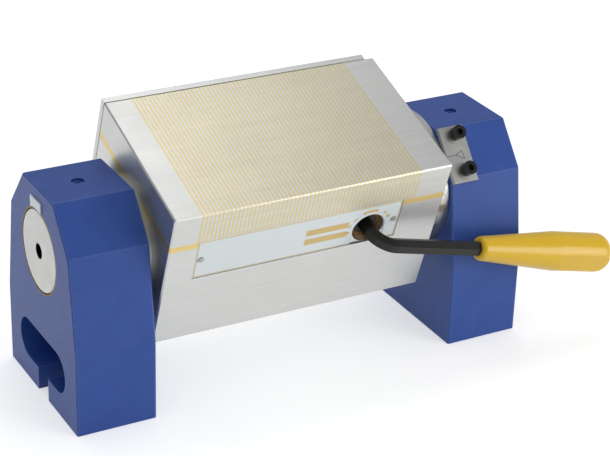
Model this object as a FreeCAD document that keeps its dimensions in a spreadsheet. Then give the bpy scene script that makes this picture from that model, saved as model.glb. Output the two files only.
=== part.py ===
import FreeCAD, Part
import math
import os
import re

import Sketcher
from FreeCAD import Placement, Rotation, Vector

# Tilting permanent-magnet chuck, in millimetres.
# Origin: on the table, under the middle of the tilt axis, half way between the two brackets.
# +X runs along the tilt axis to the right, +Y to the rear, +Z up.
# The chuck itself is drawn level, in a frame whose origin is on the tilt axis, and then tilted.

SIZES = [
    ("bracket_width", 48.0, "bracket, along the tilt axis"),
    ("bracket_depth", 101.2, "bracket, front to rear at the foot"),
    ("bracket_height", 130.8, "bracket, table to top flat"),
    ("shoulder_height", 49.2, "bracket, top of the upright sides"),
    ("knee_height", 106.0, "bracket, lower edge of the top slopes"),
    ("knee_depth", 84.9, "bracket, front to rear at that edge"),
    ("top_depth", 44.8, "bracket, front to rear of the top flat"),
    ("bracket_edge", 0.8, "bevel round both faces of a bracket"),
    ("axis_height", 92.4, "tilt axis above the table"),
    ("tilt_angle", 19.1, "stored tilt of the working face towards the front, degrees"),
    ("bolt_pocket_length", 68.0, "table-bolt pocket, end to end"),
    ("bolt_pocket_height", 25.0, "table-bolt pocket, floor to roof"),
    ("bolt_pocket_floor", 14.2, "table-bolt pocket, floor above the table"),
    ("bolt_pocket_inset", 34.0, "table-bolt pocket, how far it goes in"),
    ("bolt_slot_width", 15.0, "slot for a table bolt"),
    ("bolt_slot_reach", 26.0, "slot for a table bolt, how far it goes in"),
    ("trunnion_radius", 24.5, "trunnion journal"),
    ("journal_play", 0.05, "trunnion in its bush, on the radius"),
    ("bush_wall", 1.2, "bronze bush in a bracket"),
    ("side_play", 0.3, "between a bracket and what turns beside it"),
    ("centre_hole_radius", 4.4, "centre hole in a trunnion's end"),
    ("centre_hole_depth", 26.0, "centre hole in a trunnion's end"),
    ("flange_radius", 36.0, "trunnion flange"),
    ("right_flange", 8.0, "right trunnion flange, thickness"),
    ("dial_radius", 41.4, "graduated dial"),
    ("dial_fit", 0.1, "dial over the right trunnion's flange"),
    ("flange_bolt_circle", 30.4, "screws that hold the trunnions, radius of their circle"),
    ("clamp_radius", 4.0, "clamp screw hole in the top of a bracket"),
    ("clamp_play", 0.1, "clamp screw and pad in that hole, on the radius"),
    ("clamp_pad_height", 4.0, "brass pad under a clamp screw"),
    ("clamp_screw_length", 8.0, "clamp screw"),
    ("clamp_gap", 0.05, "pad above the journal, and screw above the pad"),
    ("index_width", 15.0, "index plate over the left trunnion"),
    ("index_height", 5.4, "index plate over the left trunnion, at its middle"),
    ("index_thickness", 0.8, "index plate"),
    ("index_offset", 1.6, "index plate, to the rear of the tilt axis"),
    ("pointer_width", 16.5, "pointer plate"),
    ("pointer_length", 34.7, "pointer plate, along the slope"),
    ("pointer_overhang", 2.7, "pointer plate, below the slope's lower edge"),
    ("pointer_thickness", 2.6, "pointer plate"),
    ("pointer_screw_side", 10.8, "its screws, from the plate's inner edge"),
    ("pointer_screw_low", 4.4, "its lower screw, up the slope from the lower edge"),
    ("pointer_screw_pitch", 22.4, "its screws, apart"),
    ("chuck_length", 175.0, "chuck"),
    ("chuck_depth", 100.0, "chuck"),
    ("chuck_top", 55.6, "working face above the tilt axis"),
    ("chuck_bottom", 40.4, "underside below the tilt axis"),
    ("left_gap", 4.6, "left bracket to the chuck"),
    ("right_gap", 15.0, "chuck to the right bracket, where the dial is"),
    ("bracket_gap", "=left_gap + chuck_length + right_gap", "clear length between the two brackets"),
    ("chuck_edge", 0.8, "bevel on the chuck's outer edges"),
    ("band_top", 35.1, "top of the brass band above the tilt axis"),
    ("band_height", 4.0, "brass band"),
    ("strip_margin_left", 16.4, "plain steel left of the brass strips"),
    ("strip_margin_right", 20.6, "plain steel right of the brass strips"),
    ("pole_pitch", 2.44, "one steel lamination and one brass strip"),
    ("strip_width", 0.9, "brass strip"),
    ("side_wall", 14.0, "front and rear walls of the housing"),
    ("end_wall", 15.2, "end walls of the housing"),
    ("chamber_floor", 4.0, "floor of the magnet chamber above the tilt axis"),
    ("chamber_corner", 6.0, "corner radius of the magnet chamber"),
    ("web", 7.0, "wall between the magnet chamber and the hollow below it"),
    ("cover_thickness", 5.0, "bottom cover"),
    ("cover_rim", 4.0, "rim of the housing round the bottom cover"),
    ("cover_gap", 0.2, "bottom cover in its recess"),
    ("corner_screw_in", 8.8, "corner screws, in from each end"),
    ("corner_screw_side", 41.0, "corner screws, from the middle plane"),
    ("cover_screw_side", 24.0, "bottom cover's screws, from the middle plane"),
    ("key_from_left", 127.8, "switching hole, from the chuck's left end"),
    ("key_height", 17.5, "switching hole above the tilt axis"),
    ("key_hole_radius", 10.15, "switching hole"),
    ("hub_depth", 5.0, "cam hub below the front face"),
    ("hub_radius", 7.5, "cam hub"),
    ("hub_play", 0.05, "cam hub in its bush, on the radius"),
    ("collar_radius", 10.5, "collar behind the cam hub"),
    ("collar_thickness", 3.8, "collar behind the cam hub"),
    ("collar_play", 0.3, "round the collar and at its faces"),
    ("cam_throw", 1.22, "eccentric pin off the hub's axis"),
    ("cam_pin_radius", 7.0, "eccentric pin"),
    ("cam_pin_length", 15.0, "eccentric pin"),
    ("cam_slot_play", 0.5, "round the eccentric pin in the magnet tray"),
    ("tray_play", 0.1, "magnet tray in its chamber, each side and below"),
    ("tray_end_play", 0.4, "magnet tray in its chamber, at each end of its stroke"),
    ("tray_head_play", 0.3, "magnet tray below the pole plate"),
    ("tray_front_rail", 17.0, "front rail of the magnet tray"),
    ("tray_rail", 5.0, "other rails of the magnet tray"),
    ("key_flats", 8.0, "hexagon key, across its flats"),
    ("socket_play", 0.1, "hexagon key in its socket, each side"),
    ("socket_depth", 10.0, "hexagon socket in the cam hub"),
    ("key_tip_gap", 0.4, "key's tip above the bottom of the socket"),
    ("key_stand_off", 14.3, "key's corner in front of the chuck"),
    ("key_bend", 12.0, "bend radius of the key"),
    ("key_droop_angle", 13.5, "long leg below level at rest, degrees"),
    ("key_lean_angle", 3.8, "long leg away from the front face, degrees"),
    ("key_to_handle", 70.4, "key's corner to the handle"),
    ("handle_length", 99.0, "handle"),
    ("handle_neck_radius", 7.2, "handle at its front"),
    ("handle_radius", 12.1, "handle at its thickest"),
    ("handle_taper", 56.0, "tapered front part of the handle"),
    ("handle_nose", 9.5, "rounding at the handle's end"),
    ("handle_lip", 2.5, "rounding at the handle's front"),
    ("handle_flat", 10.5, "flats on the handle's grip, from its axis"),
    ("key_in_handle", 58.0, "key inside the handle"),
    ("plate_left", 17.6, "nameplate, from the chuck's left end"),
    ("plate_length", 129.3, "nameplate"),
    ("plate_height", 27.5, "nameplate"),
    ("plate_thickness", 0.6, "nameplate"),
    ("plate_recess", 0.9, "recess for the nameplate"),
    ("plate_gap", 0.3, "nameplate in its recess"),
    ("plate_notch_radius", 10.6, "notch in the nameplate round the switching hole"),
    ("plate_screw_in", 3.2, "nameplate screws, in from each end"),
    ("tiny_screw", 1.25, "nameplate screw, radius"),
    ("tiny_head", 2.0, "its slotted head, radius"),
    ("tiny_head_height", 0.9, "its slotted head"),
    ("tiny_slot", 0.5, "slot across its head"),
    ("tiny_grip", 5.0, "nameplate screw in the housing"),
    ("stop_length", 169.2, "back stop"),
    ("stop_height", 46.0, "back stop"),
    ("stop_thickness", 3.8, "back stop"),
    ("stop_gap", 0.05, "back stop between the chuck and its screw heads"),
    ("stop_travel", 8.0, "how far the back stop can be raised"),
    ("stop_screw_low", 32.0, "back stop's screws below its top edge"),
    ("stop_screw_in", 18.0, "back stop's outer screws, in from its ends"),
    ("thread_play", 0.05, "screw in a tapped hole, on the radius"),
    ("hole_play", 0.3, "screw in a plain hole, on the radius"),
    ("head_play", 0.3, "screw head in its recess"),
    ("large_screw", 2.5, "M5 screw, radius"),
    ("large_head", 4.25, "its cap head, radius"),
    ("large_head_height", 5.0, "its cap head"),
    ("large_flats", 4.0, "its hexagon socket, across flats"),
    ("large_flat_head", 4.6, "its countersunk head, radius"),
    ("small_screw", 2.0, "M4 screw, radius"),
    ("small_flat_head", 3.8, "its countersunk head, radius"),
    ("small_flats", 2.5, "its hexagon socket, across flats"),
    ("screw_grip", 9.0, "screw in the metal that it holds to"),
    ("tapped_spare", 1.5, "tapped hole beyond the screw's end"),
]
NAMES = {alias for alias, number, note in SIZES}

# Places along the chuck, as formulas of the sizes above.
LEFT = "(left_gap - bracket_gap/2)"
RIGHT = "(left_gap - bracket_gap/2 + chuck_length)"
MIDDLE = "(left_gap - bracket_gap/2 + chuck_length/2)"
FRONT = "(chuck_depth/2)"
BAND_BOTTOM = "(band_top - band_height)"
KEY_X = "(left_gap - bracket_gap/2 + key_from_left)"
CHAMBER_HALF = "(chuck_depth/2 - side_wall)"
PLATE_MIDDLE = "(band_top - plate_gap - plate_height/2)"
BORE_RADIUS = "(trunnion_radius + journal_play + bush_wall)"
SLOPE_ANGLE = "(atan2(bracket_height - knee_height; knee_depth/2 - top_depth/2))"
HEX_CORNER = "(1/cos(30))"

X_AXIS = Vector(1, 0, 0)
Y_AXIS = Vector(0, 1, 0)
Z_AXIS = Vector(0, 0, 1)

doc = FreeCAD.newDocument("magnetic_chuck")
sheet = doc.addObject("Spreadsheet::Sheet", "Sizes")
parts = []


def fill_sheet():
    """Write every driving size into the spreadsheet, one row each."""
    for row, (alias, number, note) in enumerate(SIZES, 1):
        sheet.set(f"A{row}", note)
        sheet.setAlias(f"B{row}", alias)
    for row, (alias, number, note) in enumerate(SIZES, 1):
        sheet.set(f"B{row}", str(number))
    doc.recompute()


def formula(text):
    """A formula of size names, as the expression that reads them from the sheet."""
    return re.sub(r"[a-z_]\w*", lambda word: "Sizes." + word[0] if word[0] in NAMES else word[0], text)


def size(text):
    """The value of a formula."""
    result = sheet.evalExpression(formula(text))
    return float(getattr(result, "Value", result))


def bind(item, prop, text):
    item.setExpression(prop, formula(text))


def place(x="0", y="0", z="0", axis=Z_AXIS, angle="0"):
    return Placement(Vector(size(x), size(y), size(z)), Rotation(axis, size(angle)))


def keep(label, item, placement=None):
    """Register a finished sub-part: its label names its file."""
    item.Label = label
    if placement is not None:
        item.Placement = placement
    parts.append(item)
    return item


# ---- sketches ----

def start_body(name):
    return doc.addObject("PartDesign::Body", name)


def origin_feature(body, role):
    return next(item for item in body.Origin.OriginFeatures if item.Role == role)


def sketch(body, role, lift="0"):
    """An empty sketch on an origin plane, lifted along that plane's normal."""
    drawing = body.newObject("Sketcher::SketchObject", "Sketch")
    drawing.AttachmentSupport = [(origin_feature(body, role), "")]
    drawing.MapMode = "FlatFace"
    bind(drawing, "AttachmentOffset.Base.z", lift)
    return drawing


def dimension(drawing, kind, shape, point, text):
    """A driving dimension tied to the sheet; point 0 means the whole shape."""
    if point:
        rule = Sketcher.Constraint(kind, shape, point, size(text))
    else:
        rule = Sketcher.Constraint(kind, shape, size(text))
    number = drawing.addConstraint(rule)
    bind(drawing, f"Constraints[{number}]", text)


def pin_point(drawing, shape, point, x, y):
    dimension(drawing, "DistanceX", shape, point, x)
    dimension(drawing, "DistanceY", shape, point, y)


def draw_outline(drawing, corners):
    """A closed outline of straight edges through corners given as formulas."""
    points = [Vector(size(x), size(y), 0) for x, y in corners]
    count = len(points)
    lines = []
    for number, point in enumerate(points):
        edge = Part.LineSegment(point, points[(number + 1) % count])
        lines.append(drawing.addGeometry(edge, False))
    for number, line in enumerate(lines):
        drawing.addConstraint(Sketcher.Constraint("Coincident", line, 2, lines[(number + 1) % count], 1))
        pin_point(drawing, line, 1, *corners[number])


def draw_box(drawing, x_low, x_high, y_low, y_high):
    draw_outline(drawing, [(x_low, y_low), (x_high, y_low), (x_high, y_high), (x_low, y_high)])


def draw_circle(drawing, x, y, radius):
    shape = Part.Circle(Vector(size(x), size(y), 0), Z_AXIS, size(radius))
    number = drawing.addGeometry(shape, False)
    pin_point(drawing, number, 3, x, y)
    dimension(drawing, "Radius", number, 0, radius)


def draw_slot(drawing, start, end, radius):
    """A round-ended slot between two centres given as formulas."""
    first = Vector(size(start[0]), size(start[1]), 0)
    last = Vector(size(end[0]), size(end[1]), 0)
    turn = math.atan2(last.y - first.y, last.x - first.x)
    across = Vector(-math.sin(turn), math.cos(turn), 0) * size(radius)
    quarter = math.pi / 2
    near = Part.ArcOfCircle(Part.Circle(first, Z_AXIS, size(radius)), turn + quarter, turn + 3 * quarter)
    far = Part.ArcOfCircle(Part.Circle(last, Z_AXIS, size(radius)), turn - quarter, turn + quarter)
    ring = [near, Part.LineSegment(first - across, last - across),
            far, Part.LineSegment(last + across, first + across)]
    numbers = [drawing.addGeometry(shape, False) for shape in ring]
    for index, number in enumerate(numbers):
        drawing.addConstraint(Sketcher.Constraint("Tangent", number, 2, numbers[(index + 1) % 4], 1))
    drawing.addConstraint(Sketcher.Constraint("Equal", numbers[0], numbers[2]))
    pin_point(drawing, numbers[0], 3, *start)
    pin_point(drawing, numbers[2], 3, *end)
    dimension(drawing, "Radius", numbers[0], 0, radius)


def draw_hexagon(drawing, inner_radius, turn):
    """A hexagon about the sketch's origin, with a corner at this angle."""
    corners = []
    for number in range(6):
        angle = f"({60 * number} + {turn})"
        radius = f"({inner_radius})*{HEX_CORNER}"
        corners.append((f"{radius}*cos{angle}", f"{radius}*sin{angle}"))
    draw_outline(drawing, corners)


# ---- features ----

def pad(body, drawing, length):
    """Add material from a sketch along its plane's normal."""
    feature = body.newObject("PartDesign::Pad", "Pad")
    feature.Profile = drawing
    bind(feature, "Length", length)
    doc.recompute()
    return feature


def cut(body, drawing, depth, along=False):
    """Take material away, against the sketch plane's normal or along it."""
    before = body.Shape.Volume
    feature = body.newObject("PartDesign::Pocket", "Pocket")
    feature.Profile = drawing
    feature.Reversed = along
    bind(feature, "Length", depth)
    doc.recompute()
    if body.Shape.Volume > before - 1e-6:
        raise RuntimeError(f"{body.Name}: {feature.Name} cuts nothing")
    return feature


def revolve(body, drawing):
    """Turn a sketch once round its own horizontal axis."""
    feature = body.newObject("PartDesign::Revolution", "Revolution")
    feature.Profile = drawing
    feature.ReferenceAxis = (drawing, ["H_Axis"])
    feature.Angle = 360
    doc.recompute()
    return feature


def dress(body, kind, amount, wanted):
    """Chamfer or fillet the edges of the body's tip that pass a test."""
    base = body.Tip
    names = [f"Edge{number}" for number, edge in enumerate(base.Shape.Edges, 1) if wanted(edge)]
    feature = body.newObject("PartDesign::" + kind, kind)
    feature.Base = (base, names)
    bind(feature, "Radius" if kind == "Fillet" else "Size", amount)
    doc.recompute()
    return feature


def near(value, target):
    return abs(value - target) < 1e-4


def circle_edge(centre, radius):
    """A test for the circular edge with this centre and radius."""
    def wanted(edge):
        curve = edge.Curve
        if not isinstance(curve, Part.Circle) or not near(curve.Radius, radius):
            return False
        return curve.Center.distanceToPoint(centre) < 1e-4
    return wanted


def upright_corner(x_values, y_values):
    """A test for vertical edges that stand at the given places."""
    def wanted(edge):
        box = edge.BoundBox
        if box.XLength > 1e-4 or box.YLength > 1e-4 or box.ZLength < 1e-4:
            return False
        return any(near(box.XMin, x) for x in x_values) and any(near(box.YMin, y) for y in y_values)
    return wanted


# ---- shared hardware ----

def primitive(kind, placement=None, **sizes):
    item = doc.addObject("Part::" + kind, kind)
    for prop, text in sizes.items():
        bind(item, prop, text)
    if placement is not None:
        item.Placement = placement
    return item


def combine(kind, base, tool):
    item = doc.addObject("Part::" + kind, kind)
    item.Base = base
    item.Tool = tool
    return item


def hex_socket(flats, depth, top="0"):
    """A hexagonal plug that leaves a socket when it is cut away."""
    plug = primitive("Prism", place(z=f"{top} - {depth}"), Circumradius=f"{flats}/2*{HEX_CORNER}",
                     Height=f"{depth} + 1")
    plug.Polygon = 6
    return plug


def cap_screw(radius, length, head_radius, head_height, flats):
    """A socket-head cap screw: its head stands on z = 0 and its shank hangs below."""
    shank = primitive("Cylinder", place(z=f"-({length})"), Radius=radius, Height=length)
    head = primitive("Cylinder", Radius=head_radius, Height=head_height)
    return combine("Cut", combine("Fuse", shank, head), hex_socket(flats, f"{head_height}/2", head_height))


def flat_screw(radius, length, head_radius, flats):
    """A countersunk screw: its head is flush with z = 0 and its shank hangs below."""
    head_height = f"({head_radius} - {radius})"
    shank = primitive("Cylinder", place(z=f"-({length})"), Radius=radius, Height=length)
    head = primitive("Cone", place(z=f"-{head_height}"), Radius1=radius, Radius2=head_radius,
                     Height=head_height)
    return combine("Cut", combine("Fuse", shank, head), hex_socket(flats, f"{head_height}*0.7"))


def group(label, master, placements, placement):
    """Copies of one piece, kept as one sub-part of separate solids."""
    copies = []
    for spot in placements:
        copy = doc.addObject("App::Link", "Copy")
        copy.LinkedObject = master
        copy.Placement = spot
        copies.append(copy)
    bundle = doc.addObject("Part::Compound", label)
    bundle.Links = copies
    return keep(label, bundle, placement)


# ---- frames ----

def chuck_frame():
    """The chuck's own level frame, on the tilt axis, as it stands in the brackets."""
    return place(z="axis_height", axis=X_AXIS, angle="tilt_angle")


def switch_frame():
    """On the switching hole's axis at the front face, with local Z pointing out of the hole."""
    on_face = place(KEY_X, f"-{FRONT}", "key_height", X_AXIS, "90")
    return chuck_frame().multiply(on_face)


def key_frame():
    """The switching frame turned so that the key's long leg runs along local X."""
    return switch_frame().multiply(place(axis=Z_AXIS, angle="-key_droop_angle"))


def right_bracket_frame():
    return place(x="bracket_gap/2")


def left_bracket_frame():
    return place(x="-bracket_gap/2", axis=Z_AXIS, angle="180")


def pointer_frame():
    """On the lower edge of the right bracket's front slope, local Y up it and local Z off it."""
    return place("bracket_gap/2", "-knee_depth/2", "knee_height", X_AXIS, SLOPE_ANGLE)


# ---- brackets and what stays with them ----

def bracket(name):
    """A cast bracket with its inner face on local x = 0 and its outer face towards +X."""
    body = start_body(name)
    profile = sketch(body, "YZ_Plane")
    half = [("bracket_depth/2", "0"), ("bracket_depth/2", "shoulder_height"),
            ("knee_depth/2", "knee_height"), ("top_depth/2", "bracket_height")]
    mirrored = [(f"-{y}", z) for y, z in reversed(half)]
    draw_outline(profile, half + mirrored)
    pad(body, profile, "bracket_width")
    width = size("bracket_width")
    dress(body, "Chamfer", "bracket_edge",
          lambda edge: edge.BoundBox.XLength < 1e-4 and edge.BoundBox.ZMax > 1e-4
          and (near(edge.BoundBox.XMin, 0) or near(edge.BoundBox.XMin, width)))

    bore = sketch(body, "YZ_Plane")
    draw_circle(bore, "0", "axis_height", BORE_RADIUS)
    cut(body, bore, "bracket_width", along=True)

    pocket = sketch(body, "YZ_Plane", "bracket_width")
    radius = "(bolt_pocket_height/2)"
    centre = f"bolt_pocket_floor + {radius}"
    draw_slot(pocket, (f"{radius} - bolt_pocket_length/2", centre),
              (f"bolt_pocket_length/2 - {radius}", centre), radius)
    cut(body, pocket, "bolt_pocket_inset")

    slot = sketch(body, "XY_Plane")
    draw_slot(slot, ("bracket_width - bolt_slot_reach + bolt_slot_width/2", "0"),
              ("bracket_width + bolt_slot_width", "0"), "bolt_slot_width/2")
    cut(body, slot, "bolt_pocket_floor + bolt_pocket_height/2", along=True)

    clamp = sketch(body, "XY_Plane", "bracket_height")
    draw_circle(clamp, "bracket_width/2", "0", "clamp_radius")
    cut(body, clamp, "bracket_height - axis_height")
    return body


def left_bracket():
    keep("left_bracket", bracket("left_bracket"), left_bracket_frame())


def right_bracket():
    """The right bracket also has two tapped holes in its front slope."""
    body = bracket("right_bracket")
    taps = sketch(body, "XY_Plane", "knee_height")
    taps.AttachmentOffset = place("0", "-knee_depth/2", "knee_height", X_AXIS, SLOPE_ANGLE)
    bind(taps, "AttachmentOffset.Base.y", "-knee_depth/2")
    for height in ("pointer_screw_low", "pointer_screw_low + pointer_screw_pitch"):
        draw_circle(taps, "pointer_screw_side", height, "large_screw")
    cut(body, taps, "screw_grip + tapped_spare")
    keep("right_bracket", body, right_bracket_frame())


def bracket_bush(label, placement):
    """A thin bronze bush with a hole for the clamp pad."""
    body = start_body(label)
    ring = sketch(body, "YZ_Plane")
    draw_circle(ring, "0", "axis_height", BORE_RADIUS)
    draw_circle(ring, "0", "axis_height", "trunnion_radius + journal_play")
    pad(body, ring, "bracket_width")
    hole = sketch(body, "XY_Plane", "bracket_height")
    draw_circle(hole, "bracket_width/2", "0", "clamp_radius")
    cut(body, hole, "bracket_height - axis_height")
    keep(label, body, placement)


def clamp_pad(label, placement):
    """A brass pad, hollowed to the journal that it presses on."""
    plug = primitive("Cylinder", place("bracket_width/2", "0", "axis_height"),
                     Radius="clamp_radius - clamp_play",
                     Height="trunnion_radius + clamp_gap + clamp_pad_height")
    journal = primitive("Cylinder", place(z="axis_height", axis=Y_AXIS, angle="90"),
                        Radius="trunnion_radius + clamp_gap", Height="bracket_width")
    keep(label, combine("Cut", plug, journal), placement)


def clamp_screw(label, placement):
    """A socket set screw over the clamp pad."""
    foot = "(axis_height + trunnion_radius + 2*clamp_gap + clamp_pad_height)"
    shank = primitive("Cylinder", place("bracket_width/2", "0", foot), Radius="clamp_radius - clamp_play",
                      Height="clamp_screw_length")
    plug = hex_socket("large_flats", "clamp_screw_length/2", f"{foot} + clamp_screw_length")
    plug.Placement = place("bracket_width/2").multiply(plug.Placement)
    keep(label, combine("Cut", shank, plug), placement)


def index_plate():
    """A small plate on the left bracket's outer face, its lower edge following the bush."""
    blank = primitive("Box", place("bracket_width", "-(index_offset + index_width/2)", "axis_height"),
                      Length="index_thickness", Width="index_width", Height=f"{BORE_RADIUS} + index_height")
    bore = primitive("Cylinder", place(z="axis_height", axis=Y_AXIS, angle="90"), Radius=BORE_RADIUS,
                     Height="bracket_width + 2*index_thickness")
    keep("index_plate", combine("Cut", blank, bore), left_bracket_frame())


def pointer_plate():
    body = start_body("pointer_plate")
    outline = sketch(body, "XY_Plane")
    draw_box(outline, "0", "pointer_width", "-pointer_overhang", "pointer_length - pointer_overhang")
    for height in ("pointer_screw_low", "pointer_screw_low + pointer_screw_pitch"):
        draw_circle(outline, "pointer_screw_side", height, "large_screw + hole_play")
    pad(body, outline, "pointer_thickness")
    keep("pointer_plate", body, pointer_frame())


def pointer_screws():
    screw = cap_screw("large_screw - thread_play", "pointer_thickness + screw_grip", "large_head",
                      "large_head_height", "large_flats")
    spots = [place("pointer_screw_side", height, "pointer_thickness")
             for height in ("pointer_screw_low", "pointer_screw_low + pointer_screw_pitch")]
    group("pointer_screws", screw, spots, pointer_frame())


# ---- chuck: housing and what is fixed to it ----

def corner_spots():
    """The four screws, in plan, that hold the pole plate to the housing."""
    ends = (f"{LEFT} + corner_screw_in", f"{RIGHT} - corner_screw_in")
    return [(x, y) for x in ends for y in ("corner_screw_side", "-corner_screw_side")]


def cover_spots():
    """The four screws, in plan, of the bottom cover."""
    ends = (f"{LEFT} + corner_screw_in", f"{RIGHT} - corner_screw_in")
    return [(x, y) for x in ends for y in ("cover_screw_side", "-cover_screw_side")]


def flange_spots(turn):
    """Three screws on the flange circle, as (y, z), the first at this angle."""
    spots = []
    for third in range(3):
        angle = f"({turn} + {120 * third})"
        spots.append((f"flange_bolt_circle*cos{angle}", f"flange_bolt_circle*sin{angle}"))
    return spots


def stop_spots():
    """The back stop's three screws along the chuck."""
    return [f"{LEFT} + stop_screw_in", f"{LEFT} + stop_length/2", f"{LEFT} + stop_length - stop_screw_in"]


def plate_screw_spots():
    """The nameplate's two screws along the chuck."""
    ends = ("plate_left + plate_screw_in", "plate_left + plate_length - plate_screw_in")
    return [f"{LEFT} + {x}" for x in ends]


def recess_for_plate(body):
    """The shallow recess for the nameplate in a front face."""
    recess = sketch(body, "XZ_Plane", FRONT)
    draw_box(recess, f"{LEFT} + plate_left - plate_gap", f"{LEFT} + plate_left + plate_length + plate_gap",
             "band_top - plate_height - 2*plate_gap", "band_top")
    cut(body, recess, "plate_recess")


def break_block_edges(body, z_value):
    """Bevel the upright corners of a block and its edges at one height."""
    left, right, front = size(LEFT), size(RIGHT), size(FRONT)
    corner = upright_corner((left, right), (-front, front))

    def wanted(edge):
        box = edge.BoundBox
        level = z_value is not None and box.ZLength < 1e-4 and near(box.ZMin, z_value)
        outside = near(box.XMin, left) or near(box.XMax, right) or near(box.YMin, -front) or near(box.YMax, front)
        return corner(edge) or (level and outside)
    dress(body, "Chamfer", "chuck_edge", wanted)


def chuck_housing():
    """The machined block that holds the magnets, open at the top and hollow below."""
    body = start_body("chuck_housing")
    block = sketch(body, "XY_Plane", "-chuck_bottom")
    draw_box(block, LEFT, RIGHT, f"-{FRONT}", FRONT)
    pad(body, block, f"chuck_bottom + {BAND_BOTTOM}")
    break_block_edges(body, size("-chuck_bottom"))

    chamber = sketch(body, "XY_Plane", BAND_BOTTOM)
    draw_box(chamber, f"{LEFT} + end_wall", f"{RIGHT} - end_wall", f"-{CHAMBER_HALF}", CHAMBER_HALF)
    cut(body, chamber, f"{BAND_BOTTOM} - chamber_floor")
    hollow = sketch(body, "XY_Plane", "-chuck_bottom")
    draw_box(hollow, f"{LEFT} + end_wall", f"{RIGHT} - end_wall", f"-{CHAMBER_HALF}", CHAMBER_HALF)
    cut(body, hollow, "chuck_bottom + chamber_floor - web", along=True)
    dress(body, "Fillet", "chamber_corner",
          upright_corner((size(f"{LEFT} + end_wall"), size(f"{RIGHT} - end_wall")),
                         (size(f"-{CHAMBER_HALF}"), size(CHAMBER_HALF))))

    recess = sketch(body, "XY_Plane", "-chuck_bottom")
    draw_box(recess, f"{LEFT} + cover_rim", f"{RIGHT} - cover_rim", f"cover_rim - {FRONT}",
             f"{FRONT} - cover_rim")
    cut(body, recess, "cover_thickness", along=True)

    corner_holes = sketch(body, "XY_Plane", "-chuck_bottom")
    for x, y in corner_spots():
        draw_circle(corner_holes, x, y, "large_screw + hole_play")
    cut(body, corner_holes, f"chuck_bottom + {BAND_BOTTOM}", along=True)
    corner_heads = sketch(body, "XY_Plane", "cover_thickness - chuck_bottom")
    for x, y in corner_spots():
        draw_circle(corner_heads, x, y, "large_head + head_play")
    cut(body, corner_heads, "large_head_height + head_play", along=True)

    cover_taps = sketch(body, "XY_Plane", "cover_thickness - chuck_bottom")
    for x, y in cover_spots():
        draw_circle(cover_taps, x, y, "small_screw")
    cut(body, cover_taps, "screw_grip + tapped_spare", along=True)

    for end, along in ((LEFT, True), (RIGHT, False)):
        taps = sketch(body, "YZ_Plane", end)
        for y, z in flange_spots("270"):
            draw_circle(taps, y, z, "large_screw")
        cut(body, taps, "screw_grip + tapped_spare", along=along)

    hole = sketch(body, "XZ_Plane", FRONT)
    draw_circle(hole, KEY_X, "key_height", "key_hole_radius")
    cut(body, hole, "side_wall")
    seat = sketch(body, "XZ_Plane", CHAMBER_HALF)
    draw_circle(seat, KEY_X, "key_height", "collar_radius + collar_play")
    cut(body, seat, "collar_thickness + 2*collar_play", along=True)
    recess_for_plate(body)
    plate_taps = sketch(body, "XZ_Plane", f"{FRONT} - plate_recess")
    for x in plate_screw_spots():
        draw_circle(plate_taps, x, PLATE_MIDDLE, "tiny_screw")
    cut(body, plate_taps, "tiny_grip + tapped_spare")

    stop_taps = sketch(body, "XZ_Plane", f"-{FRONT}")
    for x in stop_spots():
        draw_circle(stop_taps, x, "chuck_top - stop_screw_low", "large_screw")
    cut(body, stop_taps, "screw_grip + tapped_spare", along=True)
    keep("chuck_housing", body, chuck_frame())


def base_cover():
    """The bottom cover, flush in its recess, with countersunk holes."""
    body = start_body("base_cover")
    inset = "(cover_rim + cover_gap)"
    outline = sketch(body, "XY_Plane", "-chuck_bottom")
    draw_box(outline, f"{LEFT} + {inset}", f"{RIGHT} - {inset}", f"{inset} - {FRONT}", f"{FRONT} - {inset}")
    for x, y in cover_spots():
        draw_circle(outline, x, y, "small_screw + hole_play")
    pad(body, outline, "cover_thickness")
    low, radius = size("-chuck_bottom"), size("small_screw + hole_play")
    dress(body, "Chamfer", "small_flat_head - small_screw",
          lambda edge: isinstance(edge.Curve, Part.Circle) and near(edge.Curve.Radius, radius)
          and near(edge.Curve.Center.z, low))
    keep("base_cover", body, chuck_frame())


def base_screws():
    screw = flat_screw("small_screw - thread_play", "cover_thickness + screw_grip", "small_flat_head",
                       "small_flats")
    spots = [place(x, y, "-chuck_bottom", X_AXIS, "180") for x, y in cover_spots()]
    group("base_screws", screw, spots, chuck_frame())


def brass_band():
    """The brass layer between the housing and the pole plate, seen as a band all round."""
    body = start_body("brass_band")
    ring = sketch(body, "XY_Plane", BAND_BOTTOM)
    draw_box(ring, LEFT, RIGHT, f"-{FRONT}", FRONT)
    draw_box(ring, f"{LEFT} + end_wall", f"{RIGHT} - end_wall", f"-{CHAMBER_HALF}", CHAMBER_HALF)
    for x, y in corner_spots():
        draw_circle(ring, x, y, "large_screw + hole_play")
    pad(body, ring, "band_height")
    break_block_edges(body, None)
    recess_for_plate(body)
    keep("brass_band", body, chuck_frame())


def pole_block():
    """The whole pole plate as one block, before it is divided into laminations."""
    body = start_body("pole_block")
    block = sketch(body, "XY_Plane", "band_top")
    draw_box(block, LEFT, RIGHT, f"-{FRONT}", FRONT)
    pad(body, block, "chuck_top - band_top")
    break_block_edges(body, size("chuck_top"))
    taps = sketch(body, "XY_Plane", "band_top")
    for x, y in corner_spots():
        draw_circle(taps, x, y, "large_screw")
    cut(body, taps, "screw_grip + tapped_spare", along=True)
    return body


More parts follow.
